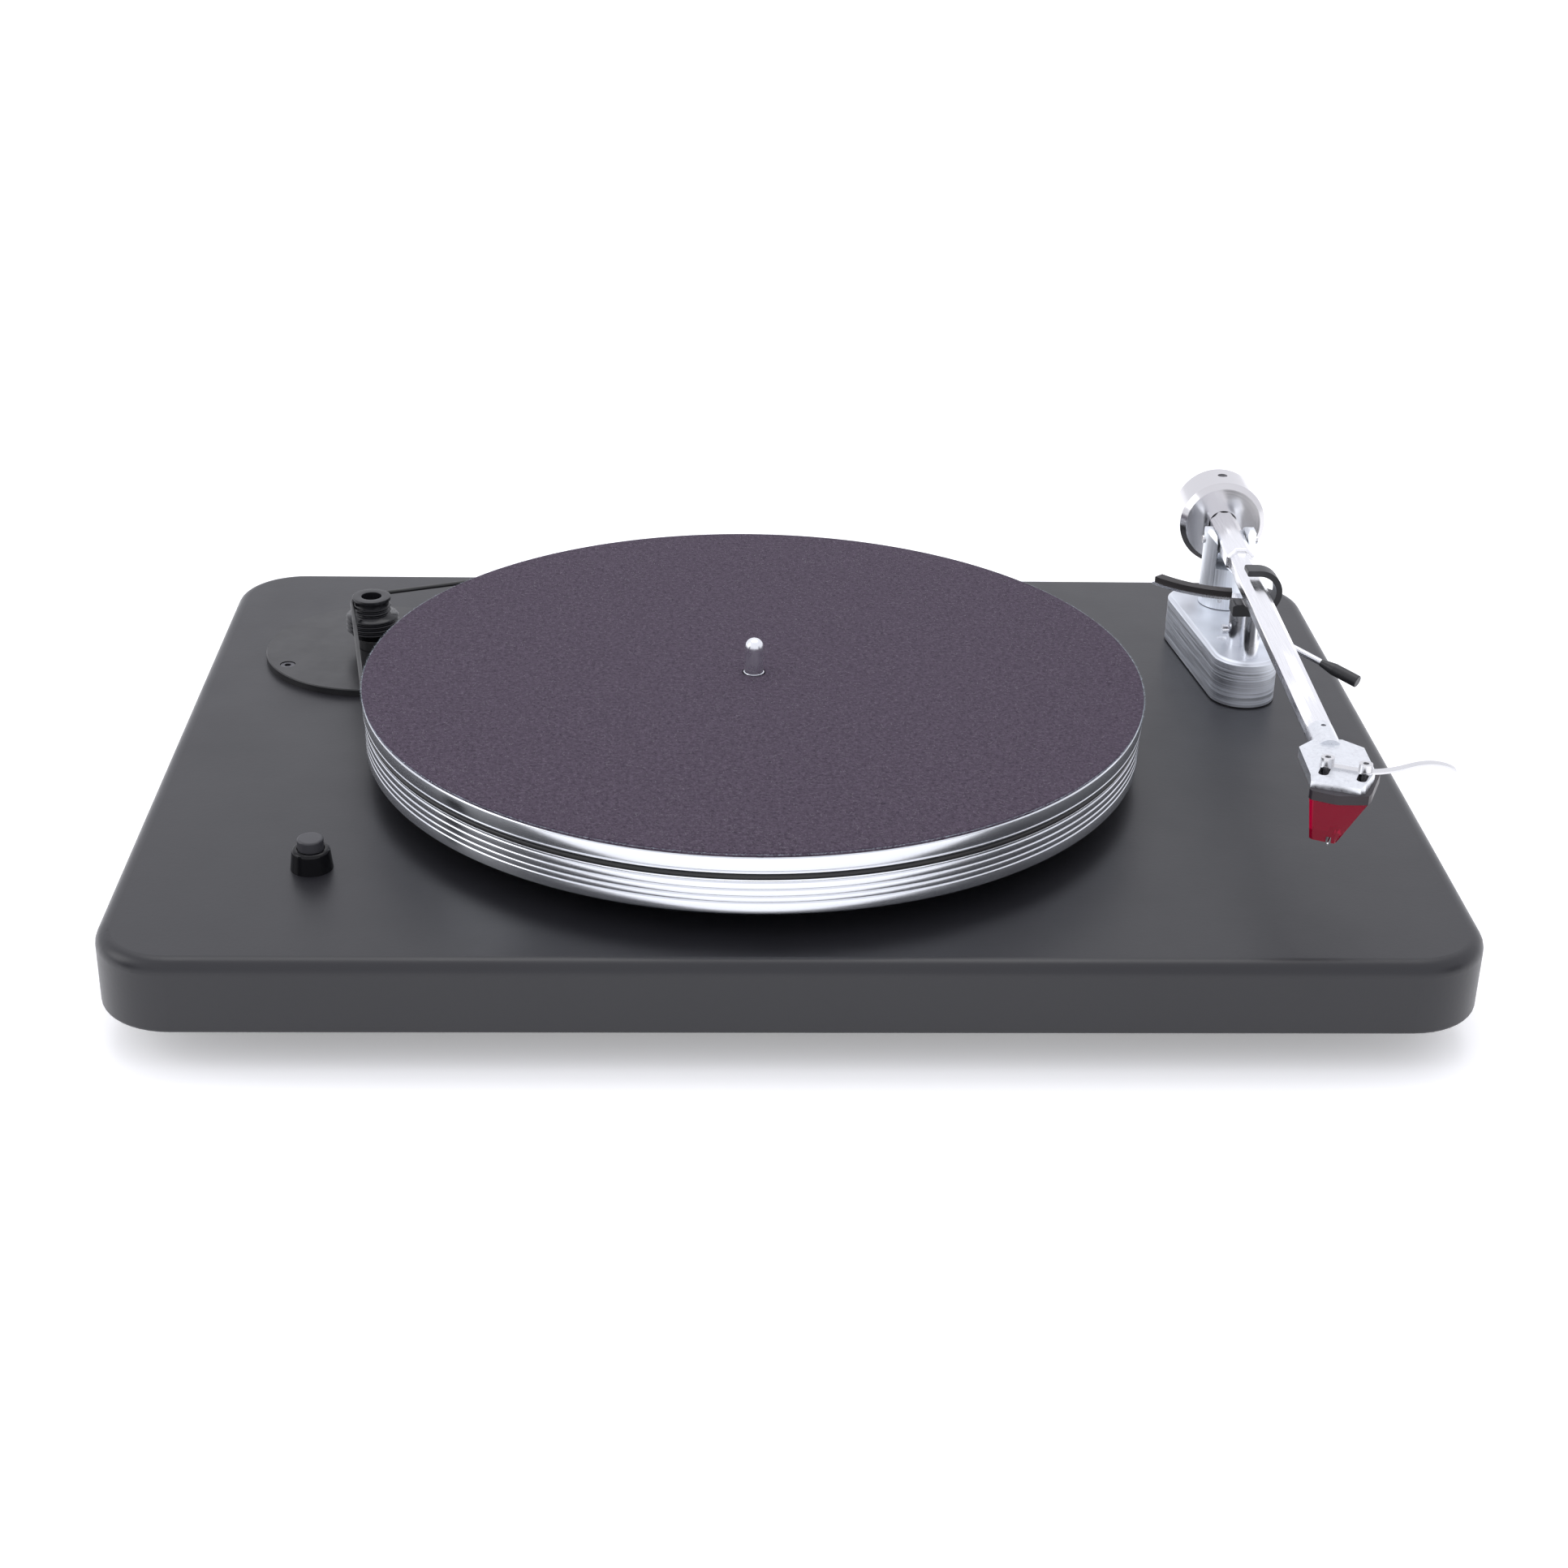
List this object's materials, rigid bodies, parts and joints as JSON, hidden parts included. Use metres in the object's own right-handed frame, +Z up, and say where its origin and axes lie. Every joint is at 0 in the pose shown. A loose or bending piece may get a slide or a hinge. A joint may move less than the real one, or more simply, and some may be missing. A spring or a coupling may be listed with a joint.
{
  "type": "turntable record player",
  "caption": "Belt-driven record player with a slab plinth, a heavy turned platter under a felt mat, an outboard motor pulley and a straight pivoted tonearm",
  "frame": {"origin": "under the middle of the whole deck, sockets included, on the surface that the feet stand on", "axes": "+X to the right (the tonearm's side), +Y to the rear (the sockets), +Z up"},
  "size_m": [0.468, 0.352, 0.1074],
  "materials": {
    "plinth_lacquer": "satin black lacquer on fibreboard",
    "foot_rubber": "matt black rubber",
    "gasket_rubber": "thin black gasket",
    "screw_steel": "bright steel",
    "black_screws": "blackened steel",
    "cartridge_screw_steel": "stainless steel",
    "black_plastic": "black moulded plastic",
    "board": "green circuit board",
    "gold_contacts": "gold-plated brass",
    "nickel": "nickel-plated steel",
    "bronze": "sintered bronze",
    "platter_aluminium": "turned aluminium",
    "mat_felt": "charcoal felt",
    "spindle_steel": "polished steel",
    "motor_plate_black": "satin black",
    "pulley_black": "turned black acetal",
    "belt_rubber": "black rubber",
    "bezel_gloss": "gloss black",
    "button_satin": "satin dark grey",
    "base_aluminium": "brushed aluminium",
    "polished_steel": "polished",
    "clip_black": "black",
    "lift_rubber": "black rubber",
    "arm_aluminium": "silver anodised aluminium",
    "weight_steel": "turned steel",
    "finger_lift_steel": "bright steel strip",
    "cartridge_black": "black moulded plastic",
    "stylus_red": "clear red plastic",
    "cantilever_aluminium": "fine drawn tube",
    "lead_insulation": "pale insulation"
  },
  "bodies": {
    "deck": {"plinth": "plinth_lacquer", "feet": "foot_rubber", "foot_screws": "screw_steel", "service_cover": "black_plastic", "cover_screws": "screw_steel", "circuit_board": "board", "phono_socket_left": "gold_contacts", "phono_socket_right": "gold_contacts", "dc_inlet": "black_plastic", "earth_post": "nickel", "bearing_housing": "screw_steel", "bearing_screws": "screw_steel", "bearing_bush": "bronze", "thrust_plate": "screw_steel", "motor_body": "motor_plate_black", "motor_plate": "motor_plate_black", "motor_plate_screws": "black_screws", "drive_belt": "belt_rubber", "switch_bezel": "bezel_gloss", "switch_body": "black_plastic", "switch_spring": "nickel", "arm_base": "base_aluminium", "arm_base_gasket": "gasket_rubber", "arm_base_bolts": "screw_steel", "arm_bearing_races": "screw_steel", "clip_post": "polished_steel", "arm_clip": "clip_black", "lift_cylinder": "polished_steel"},
    "platter_group": {"platter": "platter_aluminium", "platter_mat": "mat_felt", "platter_spindle": "spindle_steel", "thrust_ball": "screw_steel"},
    "pulley_group": {"motor_pulley": "pulley_black", "motor_shaft": "screw_steel", "motor_rotor": "nickel"},
    "yoke_group": {"arm_yoke": "arm_aluminium", "yoke_shaft": "screw_steel", "yoke_grub_screws": "screw_steel", "pivot_screws": "screw_steel"},
    "arm_group": {"arm_sleeve": "arm_aluminium", "pivot_drum": "arm_aluminium", "pivot_cups": "screw_steel", "arm_tube": "arm_aluminium", "headshell": "arm_aluminium", "headshell_screw": "black_screws", "finger_lift": "finger_lift_steel", "cartridge_screws": "cartridge_screw_steel", "cartridge_body": "cartridge_black", "stylus_guard": "stylus_red", "cantilever": "cantilever_aluminium", "cartridge_pins": "gold_contacts", "lead_wires": "lead_insulation"},
    "weight_group": {"counterweight": "weight_steel", "counterweight_screw": "black_screws"},
    "lift_group": {"lift_piston": "polished_steel", "lift_platform": "polished_steel", "lift_pad": "lift_rubber"},
    "lever_group": {"cue_lever_rod": "polished_steel", "cue_lever_knob": "clip_black"},
    "button_group": {"power_button": "button_satin"}
  },
  "joints": [
    {"name": "platter_spin", "type": "hinge", "parent": "deck", "child": "platter_group", "pos_m": [-0.012, -0.0115, 0.06], "axis": [0, 0, 1], "continuous": true},
    {"name": "pulley_spin", "type": "hinge", "parent": "deck", "child": "pulley_group", "pos_m": [-0.1675, 0.0775, 0.055], "axis": [0, 0, 1], "continuous": true},
    {"name": "arm_swing", "type": "hinge", "parent": "deck", "child": "yoke_group", "pos_m": [0.1885, 0.092, 0.062], "axis": [0, 0, -1], "range_deg": [0, 48]},
    {"name": "arm_tilt", "type": "hinge", "parent": "yoke_group", "child": "arm_group", "pos_m": [0.1885, 0.092, 0.0898], "axis": [-0.9995, 0.0311, 0], "range_deg": [0, 1]},
    {"name": "weight_slide", "type": "slide", "parent": "arm_group", "child": "weight_group", "axis": [-0.0311, -0.9994, 0.014], "range_m": [-0.004, 0.004]},
    {"name": "cue_lever", "type": "hinge", "parent": "deck", "child": "lever_group", "pos_m": [0.186, 0.04747, 0.068], "axis": [-1, 0, 0], "range_deg": [0, 75]},
    {"name": "lift_rise", "type": "slide", "parent": "deck", "child": "lift_group", "axis": [0, 0, 1], "range_m": [0, 0.0008]},
    {"name": "button_press", "type": "slide", "parent": "deck", "child": "button_group", "axis": [0, 0, -1], "range_m": [0, 0.002], "stiffness_N_per_m": 200, "springref_m": -0.002, "deforming": ["switch_spring"]}
  ],
  "couplings": [
    {"joint": "pulley_spin", "follows": "platter_spin", "ratio": 18.365},
    {"joint": "arm_tilt", "follows": "cue_lever", "ratio": 0.013333},
    {"joint": "lift_rise", "follows": "cue_lever", "m_per_rad": 0.00061}
  ]
}
